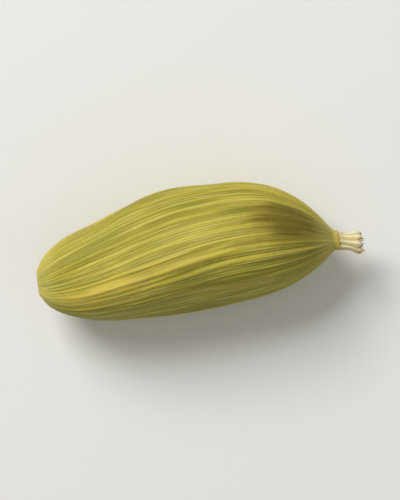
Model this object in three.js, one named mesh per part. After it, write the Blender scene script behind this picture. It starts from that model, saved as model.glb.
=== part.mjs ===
import * as THREE from 'three';

// A dried green cardamom pod, lying on one of its three rounded sides. It is a husk that
// narrows to a neck, with a small dry tip on the neck. Millimetres, Z up. X runs along the
// pod towards the tip, and the origin is on the table under the middle of the pod.

// Driving dimensions
const podLength = 14.95; // blunt end to the end of the dry tip
const podWidth = 5.65; // widest, seen from above
const tipLength = 1.12; // dry tip, from the neck to its end
const tipGap = 0.03; // clearance between the neck and the dry tip
const neckRadius = 0.5; // flat end of the husk, which the dry tip sits on
const neckLength = 1.4; // stretch over which the husk runs out into the neck
const scarRadius = 0.55; // round scar at the blunt end, where the stalk came off
const scarDepth = 0.14; // how far the middle of the scar is sunk
const restDepth = 0.13; // how far the underside is pressed flat on the table

// Shape of the husk
const widestAt = 0.47; // share of the husk's length where it is widest
const bodyEnd = 0.99; // share of the husk's length where the full body has run out
const bluntPower = 0.36; // lower is fuller, towards the blunt end
const bluntTaper = 0.13; // share by which the width draws in towards the blunt end
const slimPower = 0.74; // lower is fuller, towards the neck
const slimReach = 3.4; // higher keeps the width further along towards the neck
const ridgeHeight = 0.068; // how far the three ridges stand out, as a share of the radius
const ridgeSharpness = 0.014; // flatter sides between the ridges, as a share of the radius
const ridgeTurn = THREE.MathUtils.degToRad(34); // turn of the ridges at the blunt end
const turnFade = 3; // higher straightens the ridges sooner on the way to the neck
const sideBow = 0.72; // sideways bend of the whole pod
const bowPower = 1.6; // higher moves the bend towards the tip

// Steps of the surface
const huskAround = 48;
const huskAlong = 44;
const tipAround = 20;

const huskLength = podLength - tipLength - tipGap;
const fullRadius = podWidth / 2.05; // mean radius of the widest section
const axisHeight = fullRadius * (1 - ridgeHeight) - restDepth;

// Radius of the husk at a share of its length, before the ridges are added
function huskRadius(share) {
  const blunt = Math.max(0, widestAt - share) / widestAt;
  const slim = Math.max(0, share - widestAt) / (bodyEnd - widestAt);
  const bluntSide = (1 - bluntTaper * blunt) * Math.pow(1 - blunt * blunt, bluntPower);
  const slimSide = Math.pow(Math.max(0, 1 - Math.pow(slim, slimReach)), slimPower);
  const body = fullRadius * bluntSide * slimSide;
  const neck = neckRadius * THREE.MathUtils.smoothstep(share, 1 - neckLength / huskLength, 1);
  return Math.cbrt(body ** 3 + neck ** 3);
}

// Half outline of the husk, from the middle of the scar to the middle of the flat neck end
function huskOutline() {
  const points = [new THREE.Vector2(0, scarDepth)];
  points.push(new THREE.Vector2(scarRadius * 0.6, scarDepth * 0.85));
  for (let i = 1; i <= huskAlong; i++) {
    const share = (1 - Math.cos((Math.PI * i) / huskAlong)) / 2;
    const radius = huskRadius(share);
    if (radius > scarRadius || share > widestAt) {
      points.push(new THREE.Vector2(radius, share * huskLength));
    }
  }
  points.push(new THREE.Vector2(0, huskLength));
  return points;
}

// Sideways place of the pod's middle line, at a distance from the blunt end
function bowAt(distance) {
  return sideBow * Math.sin(Math.PI * Math.pow(distance / podLength, bowPower));
}

// Share by which the three ridges raise the surface, at an angle from the top of the section
function ridgeRise(angle, share) {
  const fade = 0.35 + 0.65 * Math.sin(Math.PI * share);
  const turn = angle + ridgeTurn * Math.pow(1 - share, turnFade);
  return fade * (ridgeHeight * Math.cos(3 * turn) + ridgeSharpness * Math.cos(6 * turn));
}

// Lays a turned shape along X: its Y becomes the distance along the pod
function layAlongPod(geometry, riseAt) {
  const place = geometry.getAttribute('position');
  for (let i = 0; i < place.count; i++) {
    const distance = place.getY(i);
    const angle = Math.atan2(place.getZ(i), place.getX(i));
    const radius = Math.hypot(place.getX(i), place.getZ(i)) * (1 + riseAt(angle, distance));
    const y = bowAt(distance) + radius * Math.sin(angle);
    const z = axisHeight + radius * Math.cos(angle);
    place.setXYZ(i, distance, y, Math.max(0, z));
  }
  geometry.computeVertexNormals();
  return geometry;
}

function makeHusk() {
  const geometry = new THREE.LatheGeometry(huskOutline(), huskAround);
  layAlongPod(geometry, (angle, distance) => ridgeRise(angle, distance / huskLength));
  const material = new THREE.MeshStandardMaterial({ color: 0xb4a850, roughness: 0.62, metalness: 0 });
  const husk = new THREE.Mesh(geometry, material);
  husk.name = 'pod_husk';
  return husk;
}

// The dry tip: a waisted stub that flares a little and ends in a shallow cup
function tipOutline() {
  const root = huskLength + tipGap;
  const stations = [
    [0, 0],
    [0.46, 0],
    [0.42, 0.3],
    [0.43, 0.55],
    [0.48, 0.8],
    [0.44, 0.94],
    [0.3, 1],
    [0, 0.9],
  ];
  return stations.map(([radius, share]) => new THREE.Vector2(radius, root + share * tipLength));
}

function makeTip() {
  const geometry = new THREE.LatheGeometry(tipOutline(), tipAround);
  layAlongPod(geometry, () => 0);
  const material = new THREE.MeshStandardMaterial({ color: 0xdcd4a0, roughness: 0.8, metalness: 0 });
  const tip = new THREE.Mesh(geometry, material);
  tip.name = 'dry_tip';
  return tip;
}

const pod = new THREE.Group();
pod.add(makeHusk());
pod.add(makeTip());

// The origin goes under the middle of the pod's box
const box = new THREE.Box3().setFromObject(pod);
const middle = box.getCenter(new THREE.Vector3());
pod.position.set(-middle.x, -middle.y, -box.min.z);
pod.updateMatrixWorld(true);

export default pod;
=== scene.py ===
import math
import bpy
from mathutils import Matrix, Vector


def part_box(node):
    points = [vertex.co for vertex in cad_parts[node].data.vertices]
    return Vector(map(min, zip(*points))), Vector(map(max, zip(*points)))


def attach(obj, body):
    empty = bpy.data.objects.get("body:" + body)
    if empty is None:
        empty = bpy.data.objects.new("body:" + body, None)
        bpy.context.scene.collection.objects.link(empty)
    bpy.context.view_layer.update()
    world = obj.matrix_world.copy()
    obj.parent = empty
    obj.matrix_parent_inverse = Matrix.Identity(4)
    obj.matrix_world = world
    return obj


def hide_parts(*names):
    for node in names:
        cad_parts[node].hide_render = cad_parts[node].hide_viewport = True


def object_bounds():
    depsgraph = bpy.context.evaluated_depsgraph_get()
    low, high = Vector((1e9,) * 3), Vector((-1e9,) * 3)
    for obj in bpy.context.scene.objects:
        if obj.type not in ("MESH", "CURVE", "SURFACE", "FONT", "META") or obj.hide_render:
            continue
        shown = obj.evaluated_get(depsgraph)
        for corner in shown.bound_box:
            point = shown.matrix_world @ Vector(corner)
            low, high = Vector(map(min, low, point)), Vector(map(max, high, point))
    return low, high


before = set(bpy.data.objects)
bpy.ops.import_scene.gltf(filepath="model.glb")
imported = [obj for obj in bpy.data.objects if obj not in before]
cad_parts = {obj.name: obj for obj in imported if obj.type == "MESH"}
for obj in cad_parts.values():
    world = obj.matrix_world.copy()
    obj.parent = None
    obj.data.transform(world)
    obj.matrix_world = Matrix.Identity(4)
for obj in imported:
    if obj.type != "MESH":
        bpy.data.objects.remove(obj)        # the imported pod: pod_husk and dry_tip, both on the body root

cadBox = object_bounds()
mm = 0.001               # the trees below work in millimetres, Blender in metres


# A Term is one number, vector or mesh in a node tree, so that a rule reads as a formula
class Term:
    def __init__(self, tree, socket):
        self.tree = tree
        self.socket = socket

    def __add__(self, other):
        return calc(self.tree, "ADD", self, other)

    def __radd__(self, other):
        return calc(self.tree, "ADD", other, self)

    def __sub__(self, other):
        return calc(self.tree, "SUBTRACT", self, other)

    def __rsub__(self, other):
        return calc(self.tree, "SUBTRACT", other, self)

    def __mul__(self, other):
        return calc(self.tree, "MULTIPLY", self, other)

    def __rmul__(self, other):
        return calc(self.tree, "MULTIPLY", other, self)

    def __truediv__(self, other):
        return calc(self.tree, "DIVIDE", self, other)

    def __pow__(self, other):
        return calc(self.tree, "POWER", self, other)

    def __neg__(self):
        return calc(self.tree, "MULTIPLY", self, -1.0)


def feed(tree, slot, value):
    if isinstance(value, Term):
        tree.links.new(value.socket, slot)
    else:
        slot.default_value = value


def calc(tree, operation, *values):
    step = tree.nodes.new("ShaderNodeMath")
    step.operation = operation
    for slot, value in zip(step.inputs, values):
        feed(tree, slot, value)
    return Term(tree, step.outputs[0])


def sine(term):
    return calc(term.tree, "SINE", term)


def cosine(term):
    return calc(term.tree, "COSINE", term)


def unsigned(term):
    return calc(term.tree, "ABSOLUTE", term)


def above(term, floor):
    return calc(term.tree, "MAXIMUM", term, floor)


def fold(term, half):                # wraps a number into the span from -half to half
    return calc(term.tree, "WRAP", term, -half, half)


def hump(term, centre, spread):      # a smooth bump of height 1 at centre
    away = (term - centre) / spread
    return calc(term.tree, "EXPONENT", -(away * away))


def ramp(term, low, high, start=0.0, end=1.0):      # smooth step from start to end
    step = term.tree.nodes.new("ShaderNodeMapRange")
    step.interpolation_type = "SMOOTHSTEP"
    limits = {"Value": term, "From Min": low, "From Max": high, "To Min": start, "To Max": end}
    for label, value in limits.items():
        feed(term.tree, step.inputs[label], value)
    return Term(term.tree, step.outputs["Result"])


def vector(x, y, z):
    tree = next(v.tree for v in (x, y, z) if isinstance(v, Term))
    step = tree.nodes.new("ShaderNodeCombineXYZ")
    for slot, value in zip(step.inputs, (x, y, z)):
        feed(tree, slot, value)
    return Term(tree, step.outputs[0])


def split(term):
    step = term.tree.nodes.new("ShaderNodeSeparateXYZ")
    feed(term.tree, step.inputs[0], term)
    return [Term(term.tree, slot) for slot in step.outputs]


def drawn(spot, longer):             # the same spot with its third part shortened, so that marks get longer
    step = spot.tree.nodes.new("ShaderNodeVectorMath")
    step.operation = "MULTIPLY"
    feed(spot.tree, step.inputs[0], spot)
    step.inputs[1].default_value = (1, 1, 1 / longer)
    return Term(spot.tree, step.outputs[0])


def scaled(direction, amount):       # a direction times a number
    step = direction.tree.nodes.new("ShaderNodeVectorMath")
    step.operation = "SCALE"
    feed(direction.tree, step.inputs[0], direction)
    feed(direction.tree, step.inputs["Scale"], amount)
    return Term(direction.tree, step.outputs[0])


noiseGain = 5.0                      # stretches Blender's noise, which keeps close to its middle


def noise(spot, seed, size, detail=1.0):      # mostly -1 to 1, with marks about as wide as size
    step = spot.tree.nodes.new("ShaderNodeTexNoise")
    step.noise_dimensions = "4D"
    feed(spot.tree, step.inputs["Vector"], spot)
    feed(spot.tree, step.inputs["W"], seed)
    step.inputs["Scale"].default_value = 1 / size
    step.inputs["Detail"].default_value = detail
    return (Term(spot.tree, step.outputs[0]) - 0.5) * noiseGain


# Geometry trees
def newTree(name, inputs):
    tree = bpy.data.node_groups.new(name, "GeometryNodeTree")
    tree.interface.new_socket(name="Geometry", in_out="OUTPUT", socket_type="NodeSocketGeometry")
    kinds = {float: "NodeSocketFloat", int: "NodeSocketInt", bpy.types.Material: "NodeSocketMaterial"}
    for label, value in inputs.items():
        tree.interface.new_socket(name=label, in_out="INPUT", socket_type=kinds[type(value)])
    entry = tree.nodes.new("NodeGroupInput")
    return tree, {label: Term(tree, entry.outputs[label]) for label in inputs}


def read(tree, kind):                # what a node without inputs gives, such as Position or Normal
    return Term(tree, tree.nodes.new("GeometryNodeInput" + kind).outputs[0])


def attribute(tree, name, kind="FLOAT"):
    step = tree.nodes.new("GeometryNodeInputNamedAttribute")
    step.data_type = kind
    step.inputs["Name"].default_value = name
    return Term(tree, step.outputs["Attribute"])


def store(mesh, name, value, kind="FLOAT", domain="POINT"):
    step = mesh.tree.nodes.new("GeometryNodeStoreNamedAttribute")
    step.data_type = kind
    step.domain = domain
    feed(mesh.tree, step.inputs["Geometry"], mesh)
    step.inputs["Name"].default_value = name
    feed(mesh.tree, step.inputs["Value"], value)
    return Term(mesh.tree, step.outputs["Geometry"])


def move(mesh, position=None, offset=None):
    step = mesh.tree.nodes.new("GeometryNodeSetPosition")
    feed(mesh.tree, step.inputs["Geometry"], mesh)
    if position is not None:
        feed(mesh.tree, step.inputs["Position"], position)
    if offset is not None:
        feed(mesh.tree, step.inputs["Offset"], offset)
    return Term(mesh.tree, step.outputs["Geometry"])


def tube(tree, around, along, rings):      # a unit tube along Z, closed at both ends, and its flat map
    step = tree.nodes.new("GeometryNodeMeshCylinder")
    step.fill_type = "TRIANGLE_FAN"
    feed(tree, step.inputs["Vertices"], around)
    feed(tree, step.inputs["Side Segments"], along)
    feed(tree, step.inputs["Fill Segments"], rings)
    step.inputs["Radius"].default_value = 1.0
    step.inputs["Depth"].default_value = 1.0
    return Term(tree, step.outputs["Mesh"]), Term(tree, step.outputs["UV Map"])


def finishTree(mesh, material):
    tree = mesh.tree
    smooth = tree.nodes.new("GeometryNodeSetShadeSmooth")
    feed(tree, smooth.inputs["Geometry"], mesh)
    solid = tree.nodes.new("GeometryNodeRealizeInstances")
    tree.links.new(smooth.outputs[0], solid.inputs["Geometry"])
    coat = tree.nodes.new("GeometryNodeSetMaterial")
    tree.links.new(solid.outputs[0], coat.inputs["Geometry"])
    feed(tree, coat.inputs["Material"], material)
    leave = tree.nodes.new("NodeGroupOutput")
    tree.links.new(coat.outputs[0], leave.inputs[0])


def grow(name, tree, values):        # runs a tree and keeps its result as a plain mesh
    piece = bpy.data.objects.new(name, bpy.data.meshes.new(name))
    bpy.context.scene.collection.objects.link(piece)
    nodes = piece.modifiers.new("shape", "NODES")
    nodes.node_group = tree
    for item in tree.interface.items_tree:
        if item.in_out == "INPUT":
            nodes[item.identifier] = values[item.name]
    depsgraph = bpy.context.evaluated_depsgraph_get()
    mesh = bpy.data.meshes.new_from_object(piece.evaluated_get(depsgraph))
    piece.modifiers.remove(nodes)
    mesh.materials.clear()           # the tree leaves an empty slot before its own
    mesh.materials.append(values["Coat"])
    for face in mesh.polygons:
        face.material_index = 0
    piece.data = mesh
    mesh.name = name
    return piece


# Materials
def newMaterial(name, specular):
    coat = bpy.data.materials.new(name)
    coat.use_nodes = True
    shader = coat.node_tree.nodes["Principled BSDF"]
    shader.inputs["Specular IOR Level"].default_value = specular
    return coat, coat.node_tree, shader


def look(tree, name, kind="Fac"):    # an attribute of the mesh, in a material
    step = tree.nodes.new("ShaderNodeAttribute")
    step.attribute_name = name
    return Term(tree, step.outputs[kind])


def colour(red, green, blue):        # a picture colour, 0 to 255, as the light it stands for
    shares = [value / 255 for value in (red, green, blue)]
    return tuple(((s + 0.055) / 1.055) ** 2.4 if s > 0.04 else s / 12.92 for s in shares) + (1,)


def blend(factor, first, second):    # colours mixed by a number
    tree = factor.tree
    step = tree.nodes.new("ShaderNodeMix")
    step.data_type = "RGBA"
    feed(tree, step.inputs["Factor"], factor)
    feed(tree, step.inputs[6], first)
    feed(tree, step.inputs[7], second)
    return Term(tree, step.outputs[2])


def bump(height, depth, under=None):      # depth in millimetres for a height of 1, over what is under it
    step = height.tree.nodes.new("ShaderNodeBump")
    step.inputs["Distance"].default_value = depth * mm
    feed(height.tree, step.inputs["Height"], height)
    if under is not None:
        feed(height.tree, step.inputs["Normal"], under)
    return Term(height.tree, step.outputs[0])


# The husk: a rounded three-sided body that follows one rule from its stalk scar to its neck
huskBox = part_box("pod_husk")
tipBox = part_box("dry_tip")
husk = {
    "Around": 576,                   # steps round the husk
    "Along": 146,                    # steps from the scar to the neck
    "Cap rings": 12,
    "Husk length": (huskBox[1].x - huskBox[0].x) / mm,
    "Pod length": (tipBox[1].x - huskBox[0].x) / mm,
    "Full radius": 5.65 / 2.05,      # mean radius of the widest section
    "Widest at": 0.47,               # share of the husk's length
    "Body end": 0.99,                # share of the length where the full body has run out
    "Blunt power": 0.36,             # lower is fuller, towards the scar
    "Blunt taper": 0.13,             # how much the width draws in towards the scar
    "Slim power": 0.74,              # lower is fuller, towards the neck
    "Slim reach": 3.4,               # higher keeps the width further along
    "Neck radius": 0.5,
    "Neck length": 1.4,
    "Neck closing": 0.1,             # share by which the neck's edge closes on the dry tip
    "Neck dish": 0.1,
    "Collar tear": 0.06,             # how uneven that edge is
    "Scar radius": 0.55,
    "Scar depth": 0.14,
    "Scar core": 0.12,               # height of the core in the middle of the scar
    "Scar rim": 0.045,
    "Pith height": 0.02,             # grains inside the scar
    "Ridge height": 0.068,           # three ridges, as a share of the radius
    "Ridge sharpness": 0.014,
    "Ridge turn": math.radians(34),  # turn of the ridges at the scar
    "Turn fade": 3.0,                # higher straightens them sooner
    "Side bow": 0.72,                # sideways bend of the whole pod
    "Bow power": 1.6,                # higher moves the bend towards the tip
    "Rest depth": 0.13,              # how far the underside is pressed flat
    "Dent depth": 0.04,              # broad hollows where the husk has shrunk
    "Hollow depth": 0.2,             # one deeper hollow on the far side, near the blunt end
    "Shoulder height": 0.13,         # the fuller stretch beside that hollow
    "Pinch depth": 0.1,              # a flatter stretch on the near side, before the neck
    "Seed swell": 0.035,             # the seeds show through as low bumps
    "Ribs": 33.0,                    # lengthwise ribs all round, a third of them on each side
    "Rib height": 0.056,
    "Rib sharpness": 2.4,
    "Rib wander": 1.0,               # how unevenly the ribs are spaced
    "Rib sway": 0.03,                # how far they bend from side to side
    "Small rib height": 0.032,       # the ribs between them
    "Small rib sharpness": 4.0,
    "Pleat height": 0.018,
    "Fibre height": 0.011,
    "Crinkle height": 0.012,         # wrinkles that cross the ribs
    "Suture height": 0.05,           # the cord along each ridge
    "Suture width": 0.14,
    "Groove depth": 0.04,            # the line midway between two ridges
    "Groove width": 0.45,
    "Seed": 7,
}


def scarShare():                     # share of the length where the husk is as wide as its scar
    drawnIn = husk["Full radius"] * (1 - husk["Blunt taper"])
    near = (husk["Scar radius"] / drawnIn) ** (1 / husk["Blunt power"])
    return husk["Widest at"] * (1 - math.sqrt(1 - near))


def bowTerm(distance, dial):         # sideways place of the pod's middle line
    share = above(distance, 0.0) / dial["Pod length"]
    return dial["Side bow"] * sine(math.pi * share ** dial["Bow power"])


def axisTerm(dial):                  # height of the pod's middle line
    return dial["Full radius"] * (1.0 - dial["Ridge height"]) - dial["Rest depth"]


def huskRadius(t, dial):
    middle = dial["Widest at"]
    blunt = above(middle - t, 0.0) / middle
    slim = above(t - middle, 0.0) / (dial["Body end"] - middle)
    bluntSide = (1.0 - dial["Blunt taper"] * blunt) * above(1.0 - blunt * blunt, 0.0) ** dial["Blunt power"]
    slimSide = above(1.0 - slim ** dial["Slim reach"], 0.0) ** dial["Slim power"]
    body = dial["Full radius"] * bluntSide * slimSide
    neck = dial["Neck radius"] * ramp(t, 1.0 - dial["Neck length"] / dial["Husk length"], 1.0)
    return (body ** 3.0 + neck ** 3.0) ** (1 / 3)


def flatMap(mesh, uv):               # the tube's own map, with its side enlarged and its ends below
    u, v, _ = split(uv)
    onSide = calc(mesh.tree, "GREATER_THAN", v, 0.49)
    endMiddle = 0.25 + 0.5 * calc(mesh.tree, "GREATER_THAN", u, 0.5)
    flatU = onSide * (0.005 + 0.99 * u) + (1.0 - onSide) * (endMiddle + 0.22 * (u - endMiddle))
    flatV = onSide * (0.125 + 1.74 * (v - 0.5)) + (1.0 - onSide) * (0.06 + 0.22 * (v - 0.25))
    return store(mesh, "OFBake", vector(flatU, flatV, 0.0), "FLOAT2", "CORNER")


def makeHuskTree(coat):
    endAngle = 0.8 * math.pi         # the steps are closer at the scar and even towards the neck
    startAngle = math.acos(1 - scarShare() * (1 - math.cos(endAngle)))
    tree, dial = newTree("huskShape", dict(husk, Coat=coat))
    mesh, uv = tube(tree, dial["Around"], dial["Along"], dial["Cap rings"])
    mesh = flatMap(mesh, uv)

    cx, cy, cz = split(read(tree, "Position"))
    w = cz + 0.5                     # 0 at the scar, 1 at the neck
    edge = calc(tree, "SQRT", cx * cx + cy * cy)      # 1 on the side, falling to 0 inside each end
    phi = calc(tree, "ARCTAN2", cy, -cx)              # from the top towards +Y
    t = (1.0 - cosine(startAngle + (endAngle - startAngle) * w)) / (1 - math.cos(endAngle))
    turned = phi + dial["Ridge turn"] * above(1.0 - t, 0.0) ** dial["Turn fade"]
    fade = 0.35 + 0.65 * sine(math.pi * t)
    rise = dial["Ridge height"] * cosine(3.0 * turned) + dial["Ridge sharpness"] * cosine(6.0 * turned)
    closing = 1.0 - dial["Neck closing"] * ramp(w, 0.965, 1.0)
    radius = huskRadius(t, dial) * (1.0 + fade * rise) * closing * edge
    scarSide = ramp(w, 0.2, 0.0)
    rim = dial["Scar rim"] * hump(radius, dial["Scar radius"], 0.1)
    sunk = dial["Scar depth"] * ramp(edge, 0.95, 0.6) - dial["Scar core"] * ramp(edge, 0.55, 0.3)
    torn = noise(vector(sine(phi), cosine(phi), 0.0), dial["Seed"] + 12, 0.25, 2.0)
    dish = dial["Neck dish"] * ramp(edge, 1.0, 0.5) * w
    dish = dish + dial["Collar tear"] * ramp(w, 0.94, 1.0) * ramp(edge, 0.3, 1.0) * ramp(torn, -0.8, 1.0)
    distance = t * dial["Husk length"] + scarSide * (sunk - rim) - dish

    spread = dial["Full radius"] * edge      # inside the scar the marks run together to its middle
    grain = vector(sine(turned) * spread, cosine(turned) * spread, distance)
    mesh = store(mesh, "grain", grain, "FLOAT_VECTOR")
    mesh = store(mesh, "around", turned)
    mesh = store(mesh, "share", t)
    mesh = store(mesh, "scar", (1.0 - edge) * (1.0 - w))
    mesh = store(mesh, "wide", radius)
    y = bowTerm(distance, dial) + radius * sine(phi)
    z = axisTerm(dial) + radius * cosine(phi)
    mesh = move(mesh, vector(distance, y, z))

    relief, crest = huskRelief(tree, dial)
    mesh = store(mesh, "crest", crest)
    mesh = move(mesh, offset=scaled(read(tree, "Normal"), relief))
    x, y, z = split(read(tree, "Position"))
    pressed = calc(tree, "SMOOTH_MAX", z, 0.0, 0.04)      # flat where it lies on the table
    mesh = move(mesh, scaled(vector(x, y, pressed), mm))
    finishTree(mesh, dial["Coat"])
    return tree


# How far the surface stands out from the plain body, and how much of a rib crest it is
def huskRelief(tree, dial):
    grain = attribute(tree, "grain", "FLOAT_VECTOR")
    around = attribute(tree, "around")
    share = attribute(tree, "share")
    wide = attribute(tree, "wide")
    seed = dial["Seed"]
    full = dial["Full radius"]
    room = (wide / full) ** 0.8      # ribs get lower where the husk narrows
    ends = ramp(share, 0.03, 0.2) * ramp(share, 0.98, 0.8)
    distance = split(grain)[2]
    swayed = around + dial["Rib sway"] * noise(drawn(grain, 1.6), seed + 1, 2.6)
    ring = vector(sine(swayed) * full, cosine(swayed) * full, distance)

    jitter = noise(drawn(ring, 10), seed + 2, 1.3)
    phase = dial["Ribs"] * swayed + dial["Rib wander"] * jitter
    strength = noise(drawn(ring, 7), seed + 3, 0.9)
    rib = calc(tree, "EXPONENT", dial["Rib sharpness"] * (cosine(phase) - 1.0))
    rib = rib * ramp(strength, -1.0, 0.8, 0.2, 1.1)
    faint = noise(drawn(ring, 7), seed + 4, 0.6)
    smallRib = calc(tree, "EXPONENT", dial["Small rib sharpness"] * (-cosine(phase) - 1.0))
    smallRib = smallRib * ramp(faint, -0.4, 0.6)
    pleat = noise(drawn(ring, 10), seed + 5, 0.8, 2.0)
    fibre = noise(drawn(ring, 16), seed + 6, 0.14, 2.0)
    crinkle = noise(drawn(ring, 0.4), seed + 7, 0.42, 2.0)
    swell = noise(drawn(grain, 1.2), seed + 8, 2.2)
    dent = noise(grain, seed + 9, 4.2)

    away = fold(around, math.pi / 3) * wide                   # mm from the nearest of the three ridges
    uneven = noise(grain, seed + 10, 1.6)
    cord = hump(away, 0.0, dial["Suture width"]) * ramp(uneven, -0.7, 0.5, 0.3, 1.0)
    beside = hump(unsigned(away), 0.34, 0.15)
    groove = hump(fold(around + math.pi / 3, math.pi / 3) * wide, 0.0, dial["Groove width"])

    farSide = hump(fold(around - math.radians(104), math.pi), 0.0, 0.6)
    nearSide = hump(fold(around + math.radians(80), math.pi), 0.0, 0.6)
    relief = (dial["Seed swell"] * swell + dial["Dent depth"] * dent) * ends
    relief = relief - dial["Hollow depth"] * farSide * hump(distance, 2.9, 1.2)
    relief = relief + dial["Shoulder height"] * farSide * hump(distance, 5.7, 1.6)
    relief = relief - dial["Pinch depth"] * nearSide * hump(distance, 12.3, 0.8)
    relief = relief + dial["Rib height"] * (rib - 0.25) * room
    relief = relief + dial["Small rib height"] * smallRib * room
    relief = relief + dial["Pleat height"] * pleat * room
    relief = relief + dial["Fibre height"] * fibre * room
    relief = relief + dial["Crinkle height"] * crinkle * (1.0 - rib) * room
    relief = relief + dial["Suture height"] * (cord - 0.5 * beside) * ends
    relief = relief - dial["Groove depth"] * groove * ends
    inScar = ramp(attribute(tree, "scar"), 0.0, 0.12)
    pith = noise(grain, seed + 11, 0.5, 2.0)
    relief = relief * (1.0 - inScar) + dial["Pith height"] * pith * inScar
    crest = ramp(rib + 0.4 * smallRib + 0.15 * pleat + 0.12 * fibre + 0.5 * cord, -0.25, 1.1)
    return relief, crest


huskColours = {
    "Straw": colour(200, 184, 66),
    "Green": colour(166, 158, 40),
    "Leaf": colour(136, 136, 34),
    "Fresh": colour(152, 158, 52),
    "Olive": colour(106, 98, 20),
    "Tan": colour(208, 186, 76),
    "Cream": colour(216, 205, 120),
    "Brown": colour(94, 74, 28),
    "Bark": colour(66, 50, 24),
    "Ochre": colour(106, 90, 10),
}


huskMarks = {                        # sizes in millimetres
    "Patch size": 2.2,               # green and straw areas
    "Shade size": 1.1,
    "Streak width": 0.17,
    "Thread count": 4.0 * husk["Ribs"],
    "Hair width": 0.06,
    "Ragged size": 0.5,              # makes the edges of the larger marks uneven
    "Fleck size": 0.2,
    "Crease size": 0.16,
    "Pith size": 0.42,
    "Grit size": 0.045,
    "Thread depth": 0.01,
    "Streak depth": 0.007,
    "Hair depth": 0.005,
    "Crease depth": 0.003,
    "Grit depth": 0.0014,
    "Seed": 20,
}


def towards(grain, angle, tightness):      # 1 along one line down the pod, falling off to both sides
    gx, gy, _ = split(grain)
    facing = (gx * math.sin(angle) + gy * math.cos(angle)) / husk["Full radius"]
    return calc(grain.tree, "EXPONENT", tightness * (facing - 1.0))


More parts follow.
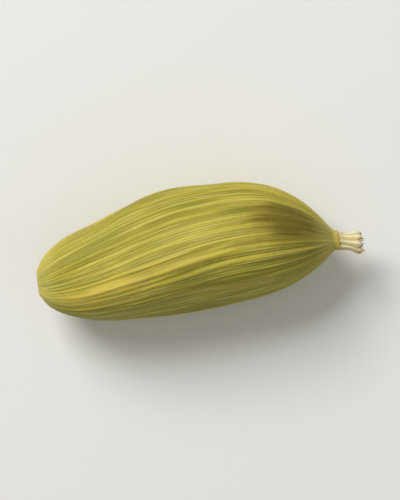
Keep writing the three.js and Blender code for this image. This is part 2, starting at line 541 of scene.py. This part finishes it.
def makeHuskMaterial():
    coat, tree, shader = newMaterial("dryHusk", 0.3)
    c, m = huskColours, huskMarks
    seed = m["Seed"]
    grain = look(tree, "grain", "Vector")
    crest = look(tree, "crest")
    scar = look(tree, "scar")
    gx, gy, distance = split(grain)
    angle = calc(tree, "ARCTAN2", gx, gy)
    patch = noise(drawn(grain, 2), seed + 1, m["Patch size"], 3.0)
    shade = noise(drawn(grain, 3), seed + 2, m["Shade size"], 3.0)
    streak = noise(drawn(grain, 18), seed + 3, m["Streak width"], 2.0)
    hair = noise(drawn(grain, 30), seed + 4, m["Hair width"])
    ragged = noise(drawn(grain, 3), seed + 5, m["Ragged size"], 3.0)
    fleck = noise(drawn(grain, 1.5), seed + 6, m["Fleck size"], 3.0)
    grit = noise(grain, seed + 7, m["Grit size"], 2.0)
    sway = noise(drawn(grain, 12), seed + 8, 0.5, 2.0)
    faint = noise(drawn(grain, 14), seed + 9, 0.4)
    crease = noise(drawn(grain, 0.7), seed + 10, m["Crease size"], 3.0)
    pith = noise(grain, seed + 11, m["Pith size"], 2.0)
    thread = 0.5 + 0.5 * cosine(m["Thread count"] * angle + 1.3 * sway)
    thread = thread * ramp(faint, -1.0, 0.6)

    base = blend(ramp(patch, -0.7, 0.7), c["Green"], c["Straw"])
    base = blend(ramp(shade, 0.0, 1.0, 0.0, 0.5), base, c["Leaf"])
    nearSide = towards(grain, math.radians(-65), 2.5)
    base = blend(nearSide * ramp(patch, -1.0, 0.8, 0.25, 0.6), base, c["Fresh"])
    # darker olive in the furrows and paler straw on the rib crests, following the relief: partly the husk's
    # own tone, partly painted shade in the furrows and painted highlight on the crests
    base = blend(ramp(crest, 0.4, 0.05, 0.0, 0.5), base, c["Olive"])
    base = blend(ramp(crest, 0.5, 0.95, 0.0, 0.6), base, c["Straw"])
    base = blend(ramp(streak, 0.1, 1.0, 0.0, 0.45), base, c["Olive"])
    base = blend(ramp(streak, -0.3, -1.2, 0.0, 0.4), base, c["Cream"])
    base = blend(ramp(hair, 0.3, 1.2, 0.0, 0.3), base, c["Cream"])
    base = blend(ramp(hair, -0.3, -1.2, 0.0, 0.3), base, c["Olive"])
    base = blend(ramp(thread, 0.45, 1.0, 0.0, 0.35), base, c["Cream"])
    base = blend(ramp(thread, 0.3, 0.0, 0.0, 0.16), base, c["Olive"])

    ridges = towards(grain, 0, 60)
    for side in (1, -1):
        ridges = ridges + towards(grain, side * 2 * math.pi / 3, 60)
    base = blend(ridges * ramp(ragged, -0.5, 0.5, 0.1, 0.45), base, c["Tan"])
    # tan along the top ridge near the blunt end: partly the husk's own tan, partly a painted highlight
    # where that ridge faces the light
    tanStreakAndHighlight = towards(grain, 0, 28) * ramp(distance, 0.6, 1.6) * ramp(distance, 7.0, 3.5)
    base = blend(tanStreakAndHighlight * ramp(ragged, -1.0, 0.5, 0.4, 0.85), base, c["Tan"])
    ripe = towards(grain, math.radians(20), 3) * ramp(distance, 7.5, 12.0)
    base = blend(ramp(ripe + 0.08 * ragged, 0.2, 1.0, 0.0, 0.45), base, c["Ochre"])
    worn = towards(grain, math.radians(27), 7) * hump(distance, 11.6, 1.6)
    base = blend(ramp(worn + 0.16 * ragged + 0.1 * streak, 0.25, 0.85, 0.0, 0.85), base, c["Ochre"])
    base = blend(ramp(fleck, 1.05, 1.35, 0.0, 0.6), base, c["Brown"])
    base = blend(ramp(distance, 1.3, 0.1, 0.0, 0.25), base, c["Cream"])
    base = blend(ramp(distance + 0.3 * streak, 12.4, 13.6, 0.0, 0.5), base, c["Cream"])
    base = blend(ramp(distance + 0.1 * ragged, 13.35, 13.65, 0.0, 0.45), base, c["Tan"])
    base = blend(ramp(distance, 0.25, 0.0, 0.0, 0.5), base, c["Tan"])
    base = blend(ramp(scar + 0.02 * ragged, 0.0, 0.14, 0.0, 0.85), base, c["Brown"])
    base = blend(ramp(scar + 0.04 * pith, 0.3, 0.6, 0.0, 0.4), base, c["Tan"])
    base = blend(ramp(scar, 0.0, 0.1) * ramp(pith, 0.0, 1.0, 0.0, 0.6), base, c["Bark"])

    feed(tree, shader.inputs["Base Color"], base)
    feed(tree, shader.inputs["Roughness"], ramp(0.3 * streak + crest, -0.2, 1.2, 0.64, 0.48))
    room = ramp(distance, 0.0, 1.4, 0.2, 1.0)      # the marks crowd together at both ends, and get lower
    room = room * ramp(distance, 13.9, 12.2, 0.3, 1.0)
    normal = bump(thread * room, m["Thread depth"])
    normal = bump(streak * room, m["Streak depth"], normal)
    normal = bump(crease, m["Crease depth"], normal)
    normal = bump(hair * room, m["Hair depth"], normal)
    feed(tree, shader.inputs["Normal"], bump(grit, m["Grit depth"], normal))
    return coat


print("husk")
huskCoat = makeHuskMaterial()
podHusk = grow("husk", makeHuskTree(huskCoat), dict(husk, Coat=huskCoat))


def sidewaysShift():                 # the middle line's place in the frame, from the root of the dry tip
    root = [v.co.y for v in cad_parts["dry_tip"].data.vertices if v.co.x < tipBox[0].x + 0.01 * mm]
    share = (tipBox[0].x - huskBox[0].x) / mm / husk["Pod length"]
    bow = husk["Side bow"] * math.sin(math.pi * share ** husk["Bow power"]) * mm
    return (min(root) + max(root)) / 2 - bow


podShift = Matrix.Translation((huskBox[0].x, sidewaysShift(), 0))
podHusk.data.transform(podShift)
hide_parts("pod_husk")
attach(podHusk, "root")
print("husk", len(podHusk.data.polygons), "faces, shifted", sidewaysShift())


# The dry tip: a short fluted stub with a torn rim and a bundle of dry strands
tip = {
    "Around": 220,
    "Along": 80,
    "Cap rings": 16,
    "Root": (tipBox[0].x - huskBox[0].x) / mm - 0.12,      # sunk a little into the neck
    "Length": (tipBox[1].x - tipBox[0].x) / mm + 0.04,
    "Root radius": 0.44,
    "Waist": 0.06,                   # how much it narrows above the root
    "Flare": 0.06,                   # how much it widens towards the rim
    "Cup depth": 0.3,
    "Tear depth": 0.2,               # how far the rim is torn back
    "Split depth": 0.1,              # how far it is split between the flutes
    "Flutes": 9.0,
    "Flute depth": 0.032,
    "Cords": 31.0,                   # finer cords on the flutes
    "Cord height": 0.011,
    "Fibre height": 0.012,
    "Strands": 18,                   # dry strands that stand in the cup
    "Strand thickness": 0.024,
    "Strand length": 0.5,
    "Seed": 5,
}


def chance(tree, low, high, number, seed):      # one value for each strand
    step = tree.nodes.new("FunctionNodeRandomValue")
    step.inputs[2].default_value = low
    step.inputs[3].default_value = high
    feed(tree, step.inputs["ID"], number)
    feed(tree, step.inputs["Seed"], seed)
    return Term(tree, step.outputs[1])


def tipRadius(t, dial):
    waist = dial["Waist"] * hump(t, 0.35, 0.25)
    flare = dial["Flare"] * ramp(t, 0.4, 0.85)
    return dial["Root radius"] - waist + flare


def makeStub(tree, dial, bend):
    mesh, uv = tube(tree, dial["Around"], dial["Along"], dial["Cap rings"])
    mesh = flatMap(mesh, uv)
    cx, cy, cz = split(read(tree, "Position"))
    t = cz + 0.5                     # 0 at the root, 1 at the rim
    edge = calc(tree, "SQRT", cx * cx + cy * cy)
    phi = calc(tree, "ARCTAN2", cy, -cx)
    seed = dial["Seed"]
    wave = vector(sine(phi) * 0.45, cosine(phi) * 0.45, t * 0.6)
    sway = 0.1 * noise(drawn(wave, 2), seed + 1, 0.3)
    jitter = noise(drawn(wave, 4), seed + 2, 0.2)
    flute = cosine(dial["Flutes"] * (phi + sway) + jitter)
    fibre = noise(drawn(wave, 10), seed + 3, 0.035, 2.0)
    tear = noise(drawn(wave, 50), seed + 4, 0.16, 2.0)
    cord = cosine(dial["Cords"] * (phi + sway) + 1.6 * noise(drawn(wave, 5), seed + 7, 0.14))
    rim = ramp(t, 0.5, 1.0)
    inside = ramp(edge, 1.0, 0.35) * calc(tree, "GREATER_THAN", t, 0.5)
    tornBack = dial["Tear depth"] * ramp(tear, -0.8, 1.0) + dial["Split depth"] * ramp(flute, 0.3, -0.9)
    reach = t * dial["Length"] - rim * tornBack - dial["Cup depth"] * inside
    stand = tipRadius(t, dial) + dial["Flute depth"] * (flute - 0.4) - 0.05 * ramp(t, 0.9, 1.0)
    stand = stand + dial["Cord height"] * cord + dial["Fibre height"] * fibre
    radius = stand * edge
    mesh = store(mesh, "grain", vector(sine(phi) * 0.45, cosine(phi) * 0.45, reach), "FLOAT_VECTOR")
    crest = ramp(flute + 0.5 * cord + 0.4 * fibre, -1.4, 1.4) * ramp(edge, 0.5, 1.0)
    mesh = store(mesh, "crest", crest)
    return move(mesh, bend(dial["Root"] + reach, radius * sine(phi), radius * cosine(phi)))


def makeStrands(tree, dial, bend):
    row = tree.nodes.new("GeometryNodeMeshLine")
    feed(tree, row.inputs["Count"], dial["Strands"])
    points = store(Term(tree, row.outputs[0]), "strand", read(tree, "Index"))
    strand, _ = tube(tree, 7, 9, 1)
    copies = tree.nodes.new("GeometryNodeInstanceOnPoints")
    feed(tree, copies.inputs["Points"], gathered(points))
    feed(tree, copies.inputs["Instance"], strand)
    solid = tree.nodes.new("GeometryNodeRealizeInstances")
    tree.links.new(copies.outputs[0], solid.inputs[0])
    mesh = Term(tree, solid.outputs[0])
    number = attribute(tree, "strand")
    lx, ly, lz = split(read(tree, "Position"))
    t = lz + 0.5                     # 0 at the strand's foot, 1 at its end
    seed = dial["Seed"]
    turn = 2.4 * number + chance(tree, -0.25, 0.25, number, seed + 1)
    start = chance(tree, 0.5, 0.7, number, seed + 2)
    length = dial["Strand length"] * chance(tree, 0.75, 1.15, number, seed + 3)
    depth = chance(tree, 0.15, 0.66, number, seed + 4)
    curl = chance(tree, -0.5, 0.5, number, seed + 5)
    lean = chance(tree, -0.08, 0.1, number, seed + 6)
    thick = dial["Strand thickness"] * (1.0 - 0.75 * t ** 2.0) * ramp(t, -0.05, 0.3, 0.1, 1.0)
    middle = (dial["Root radius"] + dial["Flare"] * t) * depth + lean * t * t
    angle = turn + curl * t * t
    across = middle + lx * thick
    side = ly * thick * 2.0
    reach = start + t * length
    y = across * sine(angle) + side * cosine(angle)
    z = across * cosine(angle) - side * sine(angle)
    mesh = store(mesh, "grain", vector(y, z, reach), "FLOAT_VECTOR")
    mesh = store(mesh, "crest", 0.5 + 0.5 * t)
    return move(mesh, bend(dial["Root"] + reach, y, z))


def gathered(points):                # all the points at one place, because a formula places the strands
    return move(points, scaled(read(points.tree, "Position"), 0.0))


def makeTipTree(coat):
    tree, dial = newTree("tipShape", dict(tip, Coat=coat))

    def bend(distance, y, z):        # the strands and the stub follow the pod's middle line
        return scaled(vector(distance, bowTerm(distance, husk) + y, axisTerm(husk) + z), mm)

    join = tree.nodes.new("GeometryNodeJoinGeometry")
    for mesh in (makeStrands(tree, dial, bend), makeStub(tree, dial, bend)):
        tree.links.new(mesh.socket, join.inputs[0])
    finishTree(Term(tree, join.outputs[0]), dial["Coat"])
    return tree


tipColours = {
    "Cream": colour(232, 222, 180),
    "Straw": colour(204, 186, 122),
    "Brown": colour(132, 104, 58),
}
tipMarks = {                         # sizes in millimetres
    "Patch size": 0.3,
    "Streak width": 0.05,
    "Hair width": 0.018,
    "Streak depth": 0.005,
    "Hair depth": 0.002,
    "Seed": 33,
}


def makeTipMaterial():
    coat, tree, shader = newMaterial("dryFibre", 0.3)
    c, m = tipColours, tipMarks
    seed = m["Seed"]
    grain = look(tree, "grain", "Vector")
    crest = look(tree, "crest")
    reach = split(grain)[2]          # mm from the root
    streak = noise(drawn(grain, 10), seed, m["Streak width"], 2.0)
    hair = noise(drawn(grain, 16), seed + 1, m["Hair width"])
    patch = noise(drawn(grain, 2), seed + 2, m["Patch size"], 2.0)
    base = blend(ramp(crest, 0.1, 0.7), c["Straw"], c["Cream"])
    base = blend(ramp(patch, 0.0, 1.0, 0.0, 0.5), base, c["Straw"])
    base = blend(ramp(streak, 0.3, 1.1, 0.0, 0.5), base, c["Brown"])
    base = blend(ramp(reach + 0.08 * patch, 0.9, 1.12, 0.0, 0.4), base, c["Brown"])
    base = blend(ramp(reach + 0.05 * patch, 0.3, 0.1, 0.0, 0.4), base, c["Straw"])
    feed(tree, shader.inputs["Base Color"], base)
    feed(tree, shader.inputs["Roughness"], ramp(streak, -1.0, 1.0, 0.6, 0.75))
    normal = bump(hair, m["Hair depth"], bump(streak, m["Streak depth"]))
    feed(tree, shader.inputs["Normal"], normal)
    return coat


print("tip")
tipCoat = makeTipMaterial()
dryTip = grow("tip", makeTipTree(tipCoat), dict(tip, Coat=tipCoat))
dryTip.data.transform(podShift)
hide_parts("dry_tip")
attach(dryTip, "root")
print("tip", len(dryTip.data.polygons), "faces")


# Floor, light and camera
stage = {
    "Floor colour": colour(236, 235, 231),
    "Floor reach": 1.0,              # metres from the middle to each edge
    "Roll": math.radians(-7),        # turns the pod in the picture as it lies in the photograph
    "Lean": math.radians(5),         # the view comes a little from the far side
    "Camera height": 0.125,
    "Lens": 200,
    "World light": 0.34,
    # each light's size, power, azimuth, height over the floor and distance
    "Lights": {
        "key": (0.12, 0.54, math.radians(120), math.radians(44), 0.25),
        "fill": (0.25, 0.05, math.radians(-40), math.radians(40), 0.3),
    },
}


def makeFloor():
    mesh = bpy.data.meshes.new("floor")
    reach = stage["Floor reach"]
    corners = [(-reach, -reach, 0), (reach, -reach, 0), (reach, reach, 0), (-reach, reach, 0)]
    mesh.from_pydata(corners, [], [(0, 1, 2, 3)])
    floor = bpy.data.objects.new("floor", mesh)
    floor.location.z = -0.01 * mm    # just under the pod, so that the two faces don't flicker
    bpy.context.scene.collection.objects.link(floor)
    coat, _, shader = newMaterial("floor", 0.2)
    shader.inputs["Base Color"].default_value = stage["Floor colour"]
    shader.inputs["Roughness"].default_value = 0.9
    mesh.materials.append(coat)


def makeCamera():
    data = bpy.data.cameras.new("camera")
    data.lens = stage["Lens"]
    data.clip_start = 0.001
    camera = bpy.data.objects.new("camera", data)
    bpy.context.scene.collection.objects.link(camera)
    bpy.context.scene.camera = camera
    turn = Matrix.Rotation(stage["Roll"], 4, "Z") @ Matrix.Rotation(-stage["Lean"], 4, "X")
    target = Matrix.Translation((0, 0, (cadBox[0][2] + cadBox[1][2]) / 2))
    back = Matrix.Translation((0, 0, stage["Camera height"]))
    camera.matrix_world = target @ turn @ back


def addLight(name, size, power, azimuth, height, distance):
    lamp = bpy.data.lights.new(name, "AREA")
    lamp.size = size
    lamp.energy = power
    thing = bpy.data.objects.new(name, lamp)
    bpy.context.scene.collection.objects.link(thing)
    flat = math.cos(height)
    direction = Vector((math.cos(azimuth) * flat, math.sin(azimuth) * flat, math.sin(height)))
    thing.location = direction * distance
    thing.rotation_euler = direction.to_track_quat("Z", "Y").to_euler()


def makeWorld():
    world = bpy.data.worlds.new("world")
    bpy.context.scene.world = world
    world.use_nodes = True
    sky = world.node_tree.nodes["Background"]
    sky.inputs["Color"].default_value = (1, 0.99, 0.97, 1)
    sky.inputs["Strength"].default_value = stage["World light"]
    bpy.context.scene.view_settings.view_transform = "Standard"


print("stage")
makeFloor()
makeCamera()
for name, facts in stage["Lights"].items():
    addLight(name, *facts)
makeWorld()
